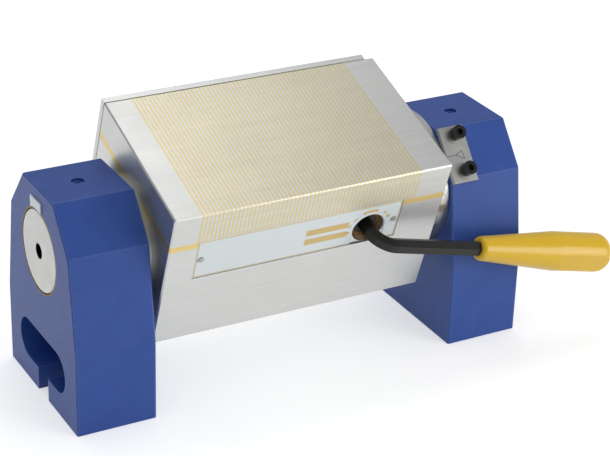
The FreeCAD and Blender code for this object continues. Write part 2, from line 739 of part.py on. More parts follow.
def strip_blanks():
    """Thin upright slabs, one pole pitch apart, through the whole pole plate."""
    slab = primitive("Box", Length="strip_width", Width="chuck_depth", Height="chuck_top - band_top")
    room = size("chuck_length - strip_margin_left - strip_margin_right - strip_width")
    copies = []
    for number in range(int(room / size("pole_pitch") + 1e-6) + 1):
        copy = doc.addObject("App::Link", "Strip")
        copy.LinkedObject = slab
        copy.Placement = place(f"{LEFT} + strip_margin_left + {number}*pole_pitch", f"-{FRONT}", "band_top")
        copies.append(copy)
    bundle = doc.addObject("Part::Compound", "strip_blanks")
    bundle.Links = copies
    return bundle


def pole_plate_and_strips():
    """The working face: steel laminations and brass strips, ground flush together."""
    block = pole_block()
    blanks = strip_blanks()
    keep("pole_plate", combine("Cut", block, blanks), chuck_frame())
    keep("pole_strips", combine("Common", block, blanks), chuck_frame())


def pole_screws():
    """Four long screws under the bottom cover that hold the pole plate down."""
    seat = "(cover_thickness + large_head_height + head_play - chuck_bottom)"
    screw = cap_screw("large_screw - thread_play", f"band_top + screw_grip - {seat}", "large_head",
                      "large_head_height", "large_flats")
    spots = [place(x, y, seat, X_AXIS, "180") for x, y in corner_spots()]
    group("pole_screws", screw, spots, chuck_frame())


def nameplate():
    """A thin plate in its recess, notched from below round the switching hole."""
    body = start_body("nameplate")
    outline = sketch(body, "XZ_Plane", f"{FRONT} - plate_recess")
    top = "(band_top - plate_gap)"
    draw_box(outline, f"{LEFT} + plate_left", f"{LEFT} + plate_left + plate_length",
             f"{top} - plate_height", top)
    pad(body, outline, "plate_thickness")
    notch = sketch(body, "XZ_Plane", FRONT)
    draw_slot(notch, (KEY_X, "key_height"), (KEY_X, "key_height - plate_height"), "plate_notch_radius")
    cut(body, notch, "plate_recess")
    holes = sketch(body, "XZ_Plane", FRONT)
    for x in plate_screw_spots():
        draw_circle(holes, x, PLATE_MIDDLE, "tiny_screw + head_play")
    cut(body, holes, "plate_recess")
    keep("nameplate", body, chuck_frame())


def nameplate_screws():
    """Two small screws with slotted heads."""
    length = "(plate_thickness + tiny_grip)"
    shank = primitive("Cylinder", place(z=f"-{length}"), Radius="tiny_screw - thread_play", Height=length)
    head = primitive("Cone", Radius1="tiny_head", Radius2="tiny_head - tiny_head_height/2",
                     Height="tiny_head_height")
    slot = primitive("Box", place("-tiny_head", "-tiny_slot/2", "tiny_head_height/2"),
                     Length="2*tiny_head", Width="tiny_slot", Height="tiny_head_height")
    screw = combine("Cut", combine("Fuse", shank, head), slot)
    spots = [place(x, f"plate_recess - plate_thickness - {FRONT}", PLATE_MIDDLE, X_AXIS, "90")
             for x in plate_screw_spots()]
    group("nameplate_screws", screw, spots, chuck_frame())


def cam_bush():
    """The bronze ring that the cam hub turns in."""
    body = start_body("cam_bush")
    ring = sketch(body, "XY_Plane", "-hub_depth")
    draw_circle(ring, "0", "0", "key_hole_radius")
    draw_circle(ring, "0", "0", "hub_radius + hub_play")
    length = "side_wall - hub_depth - collar_thickness - 2*collar_play"
    feature = pad(body, ring, length)
    feature.Reversed = True
    keep("cam_bush", body, switch_frame())


def flange_face(y, z, x, angle):
    """A screw's placement on an end of the chuck, its head towards -X or +X."""
    return place(x, y, z, Y_AXIS, angle)


def left_trunnion():
    """Journal and thin flange in one piece; its end is flush with the bracket."""
    body = start_body("left_trunnion")
    face = f"({LEFT} - left_gap + side_play)"
    flange = sketch(body, "YZ_Plane", face)
    draw_circle(flange, "0", "0", "flange_radius")
    for y, z in flange_spots("270"):
        draw_circle(flange, y, z, "large_screw + hole_play")
    pad(body, flange, "left_gap - side_play")
    rim, radius = size(face), size("large_screw + hole_play")
    dress(body, "Chamfer", "large_flat_head - large_screw",
          lambda edge: isinstance(edge.Curve, Part.Circle) and near(edge.Curve.Radius, radius)
          and near(edge.Curve.Center.x, rim))
    journal = sketch(body, "YZ_Plane", "-(bracket_gap/2 + bracket_width)")
    draw_circle(journal, "0", "0", "trunnion_radius")
    pad(body, journal, "bracket_width + side_play")
    finish_trunnion_end(body, "-(bracket_gap/2 + bracket_width)", True)
    keep("left_trunnion", body, chuck_frame())


def finish_trunnion_end(body, end, along):
    """The centre hole and the bevel at a trunnion's outer end."""
    hole = sketch(body, "YZ_Plane", end)
    draw_circle(hole, "0", "0", "centre_hole_radius")
    cut(body, hole, "centre_hole_depth", along=along)
    dress(body, "Chamfer", "bracket_edge",
          circle_edge(Vector(size(end), 0, 0), size("trunnion_radius")))


def left_trunnion_screws():
    screw = flat_screw("large_screw - thread_play", "left_gap - side_play + screw_grip", "large_flat_head",
                       "small_flats")
    spots = [place(f"{LEFT} - left_gap + side_play", y, z, Y_AXIS, "-90") for y, z in flange_spots("270")]
    group("left_trunnion_screws", screw, spots, chuck_frame())


def right_trunnion():
    """Journal and flange in one piece; the flange's cap screws are sunk under the dial."""
    body = start_body("right_trunnion")
    flange = sketch(body, "YZ_Plane", RIGHT)
    draw_circle(flange, "0", "0", "flange_radius")
    for y, z in flange_spots("270"):
        draw_circle(flange, y, z, "large_screw + hole_play")
    pad(body, flange, "right_flange")
    journal = sketch(body, "YZ_Plane", f"{RIGHT} + right_flange")
    draw_circle(journal, "0", "0", "trunnion_radius")
    pad(body, journal, f"bracket_gap/2 + bracket_width - {RIGHT} - right_flange")
    heads = sketch(body, "YZ_Plane", f"{RIGHT} + right_flange")
    for y, z in flange_spots("270"):
        draw_circle(heads, y, z, "large_head + head_play")
    cut(body, heads, "large_head_height + head_play")
    taps = sketch(body, "YZ_Plane", f"{RIGHT} + right_flange")
    for y, z in flange_spots("90"):
        draw_circle(taps, y, z, "small_screw")
    cut(body, taps, "right_flange - tapped_spare")
    finish_trunnion_end(body, "bracket_gap/2 + bracket_width", False)
    keep("right_trunnion", body, chuck_frame())


def right_trunnion_screws():
    screw = cap_screw("large_screw - thread_play",
                      "right_flange - large_head_height - head_play + screw_grip", "large_head",
                      "large_head_height", "large_flats")
    seat = f"{RIGHT} + right_flange - large_head_height - head_play"
    spots = [place(seat, y, z, Y_AXIS, "90") for y, z in flange_spots("270")]
    group("right_trunnion_screws", screw, spots, chuck_frame())


def tilt_dial():
    """The graduated dial, a cup over the right trunnion's flange."""
    body = start_body("tilt_dial")
    disc = sketch(body, "YZ_Plane", RIGHT)
    draw_circle(disc, "0", "0", "dial_radius")
    draw_circle(disc, "0", "0", "trunnion_radius + dial_fit")
    thickness = f"(bracket_gap/2 - side_play - {RIGHT})"
    pad(body, disc, thickness)
    cup = sketch(body, "YZ_Plane", RIGHT)
    draw_circle(cup, "0", "0", "flange_radius + dial_fit")
    cut(body, cup, "right_flange", along=True)
    holes = sketch(body, "YZ_Plane", "bracket_gap/2 - side_play")
    for y, z in flange_spots("90"):
        draw_circle(holes, y, z, "small_screw + hole_play")
    cut(body, holes, f"{thickness} - right_flange")
    rim, radius = size("bracket_gap/2 - side_play"), size("small_screw + hole_play")
    dress(body, "Chamfer", "small_flat_head - small_screw",
          lambda edge: isinstance(edge.Curve, Part.Circle) and near(edge.Curve.Radius, radius)
          and near(edge.Curve.Center.x, rim))
    keep("tilt_dial", body, chuck_frame())


def dial_screws():
    length = f"bracket_gap/2 - side_play - {RIGHT} - 2*tapped_spare"
    screw = flat_screw("small_screw - thread_play", length, "small_flat_head", "small_flats")
    spots = [place("bracket_gap/2 - side_play", y, z, Y_AXIS, "90") for y, z in flange_spots("90")]
    group("dial_screws", screw, spots, chuck_frame())


def back_stop():
    """The work stop along the rear edge, slotted so that it can be raised."""
    body = start_body("back_stop")
    outline = sketch(body, "XZ_Plane", f"-({FRONT} + stop_gap)")
    draw_box(outline, LEFT, f"{LEFT} + stop_length", "chuck_top - stop_height", "chuck_top")
    for x in stop_spots():
        draw_slot(outline, (x, "chuck_top - stop_screw_low"), (x, "chuck_top - stop_screw_low - stop_travel"),
                  "large_screw + hole_play")
    feature = pad(body, outline, "stop_thickness")
    feature.Reversed = True
    keep("back_stop", body, chuck_frame())


def back_stop_screws():
    reach = "stop_thickness + 2*stop_gap"
    screw = cap_screw("large_screw - thread_play", f"{reach} + screw_grip", "large_head",
                      "large_head_height", "large_flats")
    spots = [place(x, f"{FRONT} + {reach}", "chuck_top - stop_screw_low", X_AXIS, "-90")
             for x in stop_spots()]
    group("back_stop_screws", screw, spots, chuck_frame())


# ---- magnets and the switch that shifts them ----

TRAY_LEFT = f"({LEFT} + end_wall + tray_end_play)"
TRAY_LENGTH = "(chuck_length - 2*end_wall - 2*tray_end_play - 2*cam_throw)"
TRAY_BOTTOM = "(chamber_floor + tray_play)"
TRAY_HEIGHT = "(band_top - tray_head_play - chamber_floor - tray_play)"
TRAY_HALF = f"({CHAMBER_HALF} - tray_play)"


def magnet_tray():
    """The sliding brass frame, with a slot in its front rail for the eccentric pin."""
    body = start_body("magnet_tray")
    frame = sketch(body, "XY_Plane", TRAY_BOTTOM)
    draw_box(frame, TRAY_LEFT, f"{TRAY_LEFT} + {TRAY_LENGTH}", f"-{TRAY_HALF}", TRAY_HALF)
    draw_box(frame, f"{TRAY_LEFT} + tray_rail", f"{TRAY_LEFT} + {TRAY_LENGTH} - tray_rail",
             f"tray_front_rail - {TRAY_HALF}", f"{TRAY_HALF} - tray_rail")
    pad(body, frame, TRAY_HEIGHT)
    left, right = size(TRAY_LEFT), size(f"{TRAY_LEFT} + {TRAY_LENGTH}")
    half = size(TRAY_HALF)
    dress(body, "Fillet", "chamber_corner + tray_play", upright_corner((left, right), (-half, half)))
    slot = sketch(body, "XZ_Plane", TRAY_HALF)
    pin_x = f"{KEY_X} - cam_throw"
    draw_slot(slot, (pin_x, "key_height - cam_throw"), (pin_x, "key_height + cam_throw"),
              "cam_pin_radius + cam_slot_play")
    cut(body, slot, "tray_front_rail")
    keep("magnet_tray", body, chuck_frame())


def tray_bars(label, first):
    """Every second bar of the pack, starting with the first or the second."""
    width = f"(({TRAY_LENGTH} - 2*tray_rail)/21)"
    bar = primitive("Box", Length=width, Width=f"2*{TRAY_HALF} - tray_front_rail - tray_rail",
                    Height=TRAY_HEIGHT)
    spots = [place(f"{TRAY_LEFT} + tray_rail + {number}*{width}", f"tray_front_rail - {TRAY_HALF}",
                   TRAY_BOTTOM) for number in range(first, 21, 2)]
    group(label, bar, spots, chuck_frame())


def cam_shaft():
    """Hub with a hexagon socket, thrust collar and eccentric pin, along local -Z."""
    body = start_body("cam_shaft")
    hub_length = "(side_wall - hub_depth - collar_thickness - collar_play)"
    hub = sketch(body, "XY_Plane", f"-(hub_depth + {hub_length})")
    draw_circle(hub, "0", "0", "hub_radius")
    pad(body, hub, hub_length)
    collar_end = f"(hub_depth + {hub_length} + collar_thickness)"
    collar = sketch(body, "XY_Plane", f"-{collar_end}")
    draw_circle(collar, "0", "0", "collar_radius")
    pad(body, collar, "collar_thickness")
    pin = sketch(body, "XY_Plane", f"-({collar_end} + cam_pin_length)")
    draw_circle(pin, "-cam_throw", "0", "cam_pin_radius")
    pad(body, pin, "cam_pin_length")
    socket = sketch(body, "XY_Plane", "-hub_depth")
    draw_hexagon(socket, "key_flats/2 + socket_play", "30 - key_droop_angle")
    cut(body, socket, "socket_depth")
    keep("cam_shaft", body, switch_frame())


def hex_key():
    """Hexagon bar bent once: a short leg down local -Z, and a long leg leaning off local +X."""
    body = start_body("hex_key")
    path = sketch(body, "XZ_Plane")
    lean = math.radians(size("key_lean_angle"))
    turn = math.pi / 2 - lean
    corner = Vector(0, size("key_stand_off"), 0)
    tangent = size("key_bend") * math.tan(turn / 2)
    tip = Vector(0, -size("hub_depth + socket_depth - key_tip_gap"), 0)
    down = Vector(0, -1, 0)
    out = Vector(math.cos(lean), math.sin(lean), 0)
    start, end = corner + down * tangent, corner + out * tangent
    centre = start + Vector(size("key_bend"), 0, 0)
    middle = centre + (corner - centre).normalize() * size("key_bend")
    far = corner + out * size("key_to_handle + key_in_handle")
    path.addGeometry(Part.LineSegment(tip, start), False)
    path.addGeometry(Part.Arc(start, middle, end), False)
    path.addGeometry(Part.LineSegment(end, far), False)

    section = sketch(body, "XY_Plane", "-(hub_depth + socket_depth - key_tip_gap)")
    draw_hexagon(section, "key_flats/2", "30")
    pipe = body.newObject("PartDesign::AdditivePipe", "Pipe")
    pipe.Profile = section
    pipe.Spine = (path, ["Edge1", "Edge2", "Edge3"])
    doc.recompute()
    keep("hex_key", body, key_frame())


def handle_frame():
    """At the handle's front end, with local X along the key's long leg."""
    lean = place(z="key_stand_off", axis=Y_AXIS, angle="-key_lean_angle")
    return key_frame().multiply(lean).multiply(place(x="key_to_handle"))


def key_handle():
    """A moulded handle: a long taper, a round-ended grip and a flat on each side of the grip."""
    body = start_body("key_handle")
    profile = sketch(body, "XY_Plane")
    draw_outline(profile, [("0", "0"), ("0", "handle_neck_radius"), ("handle_taper", "handle_radius"),
                           ("handle_length", "handle_radius"), ("handle_length", "0")])
    revolve(body, profile)
    dress(body, "Fillet", "handle_nose",
          circle_edge(Vector(size("handle_length"), 0, 0), size("handle_radius")))
    dress(body, "Fillet", "handle_lip", circle_edge(Vector(0, 0, 0), size("handle_neck_radius")))
    bar = sketch(body, "YZ_Plane")
    draw_hexagon(bar, "key_flats/2", "0")
    cut(body, bar, "key_in_handle", along=True)
    for lift, along in (("handle_flat", True), ("-handle_flat", False)):
        flat = sketch(body, "XY_Plane", lift)
        draw_box(flat, "handle_taper", "handle_length", "-handle_radius", "handle_radius")
        cut(body, flat, "handle_radius - handle_flat", along=along)
    keep("key_handle", body, handle_frame())


def check_and_export():
    """Stop on any failed object or bad shape, then write one STEP file per sub-part."""
    doc.recompute()
    for item in doc.Objects:
        if "Invalid" in item.State or "Error" in item.State:
            raise RuntimeError(f"{item.Name} ({item.Label}) failed: {item.State}")
    os.makedirs("parts", exist_ok=True)
    for item in parts:
        shape = item.Shape
        if shape.isNull() or not shape.isValid():
            raise RuntimeError(f"{item.Label} has no valid shape")
        print(f"{item.Label}: {len(shape.Solids)} solids, {shape.Volume / 1000:.2f} cm3")
    for item in parts:
        item.Shape.exportStep(f"parts/{item.Label}.step")


def build():
    fill_sheet()
    left_bracket()
    right_bracket()
    for side, frame in (("left", left_bracket_frame()), ("right", right_bracket_frame())):
        bracket_bush(f"{side}_bush", frame)
        clamp_pad(f"{side}_clamp_pad", frame)
        clamp_screw(f"{side}_clamp_screw", frame)
    index_plate()
    pointer_plate()
    pointer_screws()
    chuck_housing()
    base_cover()
    base_screws()
    brass_band()
    pole_plate_and_strips()
    pole_screws()
    nameplate()
    nameplate_screws()
    cam_bush()
    left_trunnion()
    left_trunnion_screws()
    right_trunnion()
    right_trunnion_screws()
    tilt_dial()
    dial_screws()
    back_stop()
    back_stop_screws()
    magnet_tray()
    tray_bars("magnets", 0)
    tray_bars("pole_bars", 1)
    cam_shaft()
    hex_key()
    key_handle()
    check_and_export()


build()
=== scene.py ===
import math

import bpy
from mathutils import Matrix, Vector


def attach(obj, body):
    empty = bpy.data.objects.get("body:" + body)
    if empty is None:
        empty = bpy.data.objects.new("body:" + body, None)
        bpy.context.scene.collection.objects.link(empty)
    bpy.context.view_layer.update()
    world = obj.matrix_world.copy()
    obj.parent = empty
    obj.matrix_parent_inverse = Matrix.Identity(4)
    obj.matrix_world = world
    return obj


# Tilting magnetic chuck: the finishes of its pieces, and the print and engraving on them. Metres, but the
# marks are laid out in millimetres.
# The chuck stands tilted towards the front, so its patterns follow its own level frame on the tilt axis.

MM = 0.001
TILT = math.radians(19.1)
AXIS_HEIGHT = 92.4 * MM
CHUCK = Matrix.Translation((0, 0, AXIS_HEIGHT)) @ Matrix.Rotation(TILT, 4, "X")
LEVEL = Matrix.Identity(4)

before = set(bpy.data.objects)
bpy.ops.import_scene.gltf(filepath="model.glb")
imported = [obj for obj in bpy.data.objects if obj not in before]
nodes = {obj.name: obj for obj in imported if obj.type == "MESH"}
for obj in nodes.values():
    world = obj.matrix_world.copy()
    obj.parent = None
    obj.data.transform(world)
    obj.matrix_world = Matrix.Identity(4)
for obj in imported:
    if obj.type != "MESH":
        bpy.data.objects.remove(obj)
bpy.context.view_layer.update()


# ---- small helpers ----

def srgb(code):
    """A linear colour from a six-digit sRGB code."""
    parts = [int(code[i:i + 2], 16) / 255 for i in (0, 2, 4)]
    linear = [c / 12.92 if c <= 0.04045 else ((c + 0.055) / 1.055) ** 2.4 for c in parts]
    return (*linear, 1.0)


def add(tree, kind, values=None, **settings):
    """Add a shader or geometry node: settings are its properties, values its inputs."""
    item = tree.nodes.new(kind)
    for name, value in settings.items():
        setattr(item, name, value)
    for key, value in (values or {}).items():
        socket = item.inputs[key]
        if isinstance(value, bpy.types.NodeSocket):
            tree.links.new(value, socket)
        else:
            socket.default_value = value
    return item


def material(name):
    """An empty node material with its surface shader."""
    made = bpy.data.materials.new(name)
    made.use_nodes = True
    tree = made.node_tree
    tree.nodes.clear()
    surface = add(tree, "ShaderNodeBsdfPrincipled")
    output = add(tree, "ShaderNodeOutputMaterial")
    tree.links.new(surface.outputs[0], output.inputs["Surface"])
    return made, tree, surface


def link(tree, value, socket):
    tree.links.new(value, socket)


def place(tree):
    """The part's own coordinates, in metres."""
    return add(tree, "ShaderNodeTexCoord").outputs["Object"]


def chuck_place(tree):
    """Coordinates in the chuck's level frame, whose origin is on the tilt axis."""
    shift = (0.0, -AXIS_HEIGHT * math.sin(TILT), -AXIS_HEIGHT * math.cos(TILT))
    turned = add(tree, "ShaderNodeMapping", {"Vector": place(tree), "Location": shift,
                                             "Rotation": (-TILT, 0.0, 0.0)})
    return turned.outputs[0]


def stretched(tree, vector, x, y, z):
    """A vector scaled so that one unit is this many millimetres along each axis."""
    scale = tuple(1 / (size * MM) for size in (x, y, z))
    return add(tree, "ShaderNodeMapping", {"Vector": vector, "Scale": scale}).outputs[0]


def noise(tree, vector, detail=3.0, rough=0.55):
    """Noise of unit size in the given vector."""
    return add(tree, "ShaderNodeTexNoise", {"Vector": vector, "Scale": 1.0, "Detail": detail,
                                            "Roughness": rough}).outputs["Fac"]


def remap(tree, value, low, high, to_low, to_high):
    return add(tree, "ShaderNodeMapRange", {"Value": value, "From Min": low, "From Max": high,
                                            "To Min": to_low, "To Max": to_high}).outputs[0]


def calc(tree, operation, a, b=0.0):
    item = add(tree, "ShaderNodeMath", {0: a, 1: b}, operation=operation)
    return item.outputs[0]


def blend(tree, factor, a, b):
    """Mix two colours."""
    item = add(tree, "ShaderNodeMix", data_type="RGBA")
    for socket, value in zip((item.inputs[0], item.inputs[6], item.inputs[7]), (factor, a, b)):
        if isinstance(value, bpy.types.NodeSocket):
            link(tree, value, socket)
        else:
            socket.default_value = value
    return item.outputs[2]


def bump(tree, height, depth, normal=None):
    """A normal from a height of 0 to 1 that is this many millimetres deep."""
    values = {"Height": height, "Strength": 1.0, "Distance": depth * MM}
    if normal is not None:
        values["Normal"] = normal
    return add(tree, "ShaderNodeBump", values).outputs[0]


def edge_mask(tree, radius):
    """1 on convex and concave edges, 0 on flats, this many millimetres wide."""
    rounded = add(tree, "ShaderNodeBevel", {"Radius": radius * MM}, samples=6).outputs[0]
    flat = add(tree, "ShaderNodeNewGeometry").outputs["Normal"]
    dot = add(tree, "ShaderNodeVectorMath", {0: rounded, 1: flat}, operation="DOT_PRODUCT").outputs["Value"]
    return remap(tree, dot, 0.995, 0.86, 0.0, 1.0)


def set_values(surface, **values):
    """Set or link a surface shader's inputs by short names."""
    names = {"rough": "Roughness", "metal": "Metallic", "coat": "Coat Weight", "coat_rough": "Coat Roughness",
             "color": "Base Color", "normal": "Normal", "specular": "Specular IOR Level"}
    tree = surface.id_data
    for name, value in values.items():
        socket = surface.inputs[names[name]]
        if isinstance(value, bpy.types.NodeSocket):
            link(tree, value, socket)
        else:
            socket.default_value = value


# ---- materials ----

def blue_enamel():
    """Sprayed enamel on a fettled casting: an even blue with faint orange peel, and a painted highlight of
    pale blue along its rounded edges.
    """
    made, tree, surface = material("blue_enamel_sprayed_on_casting")
    at = place(tree)
    peel = noise(tree, stretched(tree, at, 1.6, 1.6, 1.6), 2.0)
    swell = noise(tree, stretched(tree, at, 14, 14, 14), 2.0)
    edge = edge_mask(tree, 0.9)
    tone = blend(tree, remap(tree, swell, 0.35, 0.65, 0.0, 1.0), srgb("2A4D9B"), srgb("2E52A1"))
    # Painted highlight: pale blue blended in along the edges, standing in for the light that the rounded
    # enamel catches.
    color = blend(tree, calc(tree, "MULTIPLY", edge, 0.55), tone, srgb("8FA5DC"))
    rounded = add(tree, "ShaderNodeBevel", {"Radius": 0.8 * MM}, samples=6).outputs[0]
    height = calc(tree, "ADD", calc(tree, "MULTIPLY", peel, 0.35), swell)
    set_values(surface, color=color, rough=remap(tree, peel, 0.3, 0.7, 0.42, 0.52), coat=0.12,
               coat_rough=0.2, specular=0.35, normal=bump(tree, height, 0.04, rounded))
    return made


def ground_metal(name, color, dark, rough):
    """Surface-ground metal: fine grinding lines along the chuck, with slight shade bands between passes."""
    made, tree, surface = material(name)
    at = chuck_place(tree)
    lines = noise(tree, stretched(tree, at, 26.0, 0.09, 0.09), 4.0, 0.65)
    bands = noise(tree, stretched(tree, at, 160.0, 2.6, 2.6), 2.0)
    cloud = noise(tree, stretched(tree, at, 38, 38, 38), 3.0)
    mixed = calc(tree, "ADD", calc(tree, "MULTIPLY", lines, 0.85), calc(tree, "MULTIPLY", bands, 0.15))
    tone = blend(tree, remap(tree, mixed, 0.35, 0.65, 0.0, 1.0), dark, color)
    level = calc(tree, "ADD", remap(tree, lines, 0.3, 0.7, rough - 0.05, rough + 0.05),
                 remap(tree, cloud, 0.35, 0.65, -0.02, 0.03))
    rounded = add(tree, "ShaderNodeBevel", {"Radius": 0.25 * MM}, samples=4).outputs[0]
    set_values(surface, color=tone, metal=1.0, rough=level, normal=bump(tree, lines, 0.002, rounded))
    return made


def turned_steel():
    """Lathe-turned steel: fine rings round the tilt axis, with painted shade darkening the centre hole."""
    made, tree, surface = material("turned_steel_facing_rings")
    at = chuck_place(tree)
    parts = add(tree, "ShaderNodeSeparateXYZ", {"Vector": at}).outputs
    square = calc(tree, "ADD", calc(tree, "POWER", parts[1], 2.0), calc(tree, "POWER", parts[2], 2.0))
    radius = calc(tree, "SQRT", square)
    rings = add(tree, "ShaderNodeCombineXYZ", {0: calc(tree, "DIVIDE", radius, 0.16 * MM),
                                               1: calc(tree, "DIVIDE", parts[0], 0.2 * MM)}).outputs[0]
    groove = noise(tree, rings, 3.0, 0.6)
    smudge = noise(tree, stretched(tree, at, 9, 9, 9), 4.0)
    ground = blend(tree, groove, srgb("A9AAA6"), srgb("D6D6D2"))
    # Painted shade: near-black inside the centre hole, standing in for the shadow down the bore.
    hole_shade = remap(tree, radius, 4.5 * MM, 4.8 * MM, 1.0, 0.0)
    tone = blend(tree, hole_shade, ground, srgb("191917"))
    rounded = add(tree, "ShaderNodeBevel", {"Radius": 0.3 * MM}, samples=4).outputs[0]
    set_values(surface, color=tone, metal=1.0, rough=remap(tree, smudge, 0.3, 0.7, 0.3, 0.42),
               normal=bump(tree, groove, 0.006, rounded))
    return made


def satin_metal(name, light, dark, rough):
    """Plain metal with a fine even grain and faint smudges."""
    made, tree, surface = material(name)
    at = place(tree)
    fine = noise(tree, stretched(tree, at, 0.5, 0.5, 0.5), 3.0)
    smudge = noise(tree, stretched(tree, at, 8, 8, 8), 3.0)
    rounded = add(tree, "ShaderNodeBevel", {"Radius": 0.3 * MM}, samples=4).outputs[0]
    set_values(surface, color=blend(tree, fine, dark, light), metal=1.0,
               rough=remap(tree, smudge, 0.3, 0.7, rough - 0.05, rough + 0.06),
               normal=bump(tree, fine, 0.004, rounded))
    return made


def black_oxide():
    """Blackened steel: a thin dark oxide with an oily sheen, worn lighter on its edges."""
    made, tree, surface = material("black_oxide_steel")
    at = place(tree)
    grain = noise(tree, stretched(tree, at, 0.4, 0.4, 0.4), 3.0)
    patch = noise(tree, stretched(tree, at, 6, 6, 6), 3.0)
    edge = edge_mask(tree, 0.35)
    tone = blend(tree, patch, srgb("161613"), srgb("22221E"))
    color = blend(tree, calc(tree, "MULTIPLY", edge, 0.35), tone, srgb("6E6E68"))
    rounded = add(tree, "ShaderNodeBevel", {"Radius": 0.3 * MM}, samples=4).outputs[0]
    set_values(surface, color=color, metal=0.35, rough=remap(tree, patch, 0.3, 0.7, 0.3, 0.42),
               normal=bump(tree, grain, 0.006, rounded))
    return made


def printed_metal():
    """Anodised aluminium sheet, printed pale blue-white under a clear film that softens its highlight."""
    made, tree, surface = material("printed_aluminium_sheet")
    at = place(tree)
    grain = noise(tree, stretched(tree, at, 0.6, 0.6, 0.6), 2.0)
    set_values(surface, color=blend(tree, grain, srgb("E6EEEF"), srgb("EEF4F4")), rough=0.4, coat=0.3,
               coat_rough=0.12, normal=bump(tree, grain, 0.003))
    return made


def yellow_plastic():
    """Dip-moulded glossy plastic: warm yellow with a slightly uneven skin."""
    made, tree, surface = material("yellow_moulded_plastic")
    at = place(tree)
    skin = noise(tree, stretched(tree, at, 5, 5, 5), 2.0)
    fine = noise(tree, stretched(tree, at, 0.8, 0.8, 0.8), 2.0)
    tone = blend(tree, skin, srgb("E3B510"), srgb("EABF1C"))
    set_values(surface, color=tone, rough=remap(tree, fine, 0.3, 0.7, 0.28, 0.36), coat=0.25, coat_rough=0.1,
               normal=bump(tree, calc(tree, "ADD", skin, calc(tree, "MULTIPLY", fine, 0.1)), 0.04))
    surface.inputs["Subsurface Weight"].default_value = 0.03
    surface.inputs["Subsurface Radius"].default_value = (0.004, 0.002, 0.0006)
    surface.inputs["Subsurface Scale"].default_value = 1.0
    return made


def ferrite():
    """Sintered ferrite: near-black ceramic with a dusty grain."""
    made, tree, surface = material("sintered_ferrite")
    grain = noise(tree, stretched(tree, place(tree), 0.5, 0.5, 0.5), 4.0)
    set_values(surface, color=blend(tree, grain, srgb("2A2A2C"), srgb("3A3A3D")), rough=0.7,
               normal=bump(tree, grain, 0.02))
    return made


def flat_ink(name, color, rough):
    """A thin even layer of ink or paint: a flat colour with a very fine grain."""
    made, tree, surface = material(name)
    grain = noise(tree, stretched(tree, place(tree), 0.3, 0.3, 0.3), 2.0)
    set_values(surface, color=color, rough=remap(tree, grain, 0.3, 0.7, rough - 0.05, rough + 0.05),
               normal=bump(tree, grain, 0.002))
    return made


def dress(material_made, *names):
    """Give CAD nodes a material in place of their plain one."""
    for name in names:
        mesh = nodes[name].data
        for index in range(len(mesh.materials)):
            mesh.materials[index] = material_made


ENAMEL = blue_enamel()
FACE_STEEL = ground_metal("ground_steel_working_face", srgb("DCDCD9"), srgb("C6C7C3"), 0.42)
BODY_STEEL = ground_metal("ground_steel_block_sides", srgb("DDDDDA"), srgb("CACBC8"), 0.4)
FACE_BRASS = ground_metal("ground_brass_with_the_face", srgb("EAD494"), srgb("D9BE78"), 0.4)
TURNED = turned_steel()
DIAL_METAL = satin_metal("satin_chromed_dial", srgb("D2D3D0"), srgb("BCBDBA"), 0.3)
BRIGHT = satin_metal("bright_zinc_screws", srgb("C9CCCB"), srgb("A6A9A8"), 0.3)
# Bronze tone kept dark, partly its own colour and partly painted shade, since the bushes and the cam bush sit
# inside bores and the key hole.
BRONZE = satin_metal("bearing_bronze_darkened_as_shade", srgb("7E6038"), srgb("5C4426"), 0.4)
TRAY_BRASS = satin_metal("milled_brass_tray", srgb("D8B968"), srgb("C2A050"), 0.35)
SATIN_STEEL = satin_metal("machined_steel_parts", srgb("CFCFCB"), srgb("B2B2AE"), 0.34)
BLACK = black_oxide()
PRINTED = printed_metal()
YELLOW = yellow_plastic()
GOLD_INK = flat_ink("gold_screen_ink", srgb("DFC27E"), 0.45)
ENGRAVING = flat_ink("black_filled_engraving", srgb("2E2E2C"), 0.6)
# Flat black standing in for the shadow in the gap round the nameplate: painted shadow.
GAP_SHADOW = flat_ink("painted_gap_shadow_black", srgb("1B1A18"), 0.7)
FERRITE = ferrite()

dress(ENAMEL, "left_bracket", "right_bracket", "left_clamp_screw", "right_clamp_screw")
dress(BRONZE, "left_bush", "right_bush", "cam_bush")
dress(TRAY_BRASS, "magnet_tray", "left_clamp_pad", "right_clamp_pad")
# cam_shaft takes the black oxide finish as painted shade, since it sits deep in the dark key hole.
dress(BLACK, "pointer_screws", "back_stop_screws", "right_trunnion_screws", "pole_screws", "hex_key",
      "cam_shaft")
dress(BRIGHT, "base_screws", "left_trunnion_screws", "dial_screws", "nameplate_screws")
dress(PRINTED, "nameplate", "index_plate")
dress(SATIN_STEEL, "pointer_plate", "pole_bars")
dress(BODY_STEEL, "chuck_housing", "base_cover")
dress(FACE_STEEL, "pole_plate", "back_stop")
dress(FACE_BRASS, "brass_band", "pole_strips")
dress(TURNED, "left_trunnion", "right_trunnion")
dress(DIAL_METAL, "tilt_dial")
dress(FERRITE, "magnets")
dress(YELLOW, "key_handle")


# ---- marks: printed and engraved details, and painted shadow in the nameplate gap ----

PRINT_LIFT = 0.03            # ink and filled lines above their surface
POINTER_LINE = 14.2          # index line, up the slope from its lower edge
POINTER_ANGLE = 53.7         # where the pointer points, degrees forward of straight up
SLOPE_LOW = (42.45, 106.0)   # lower and upper edge of a bracket's front slope: out from the axis, up
SLOPE_HIGH = (22.4, 130.8)
DIAL_BACK, DIAL_FORWARD = 90, 30


def span(node, base):
    """Lowest and highest corner of a CAD node in one of the part's own frames, in millimetres."""
    points = [base.inverted() @ vertex.co / MM for vertex in nodes[node].data.vertices]
    return [Vector([choose(point[axis] for point in points) for axis in range(3)]) for choose in (min, max)]


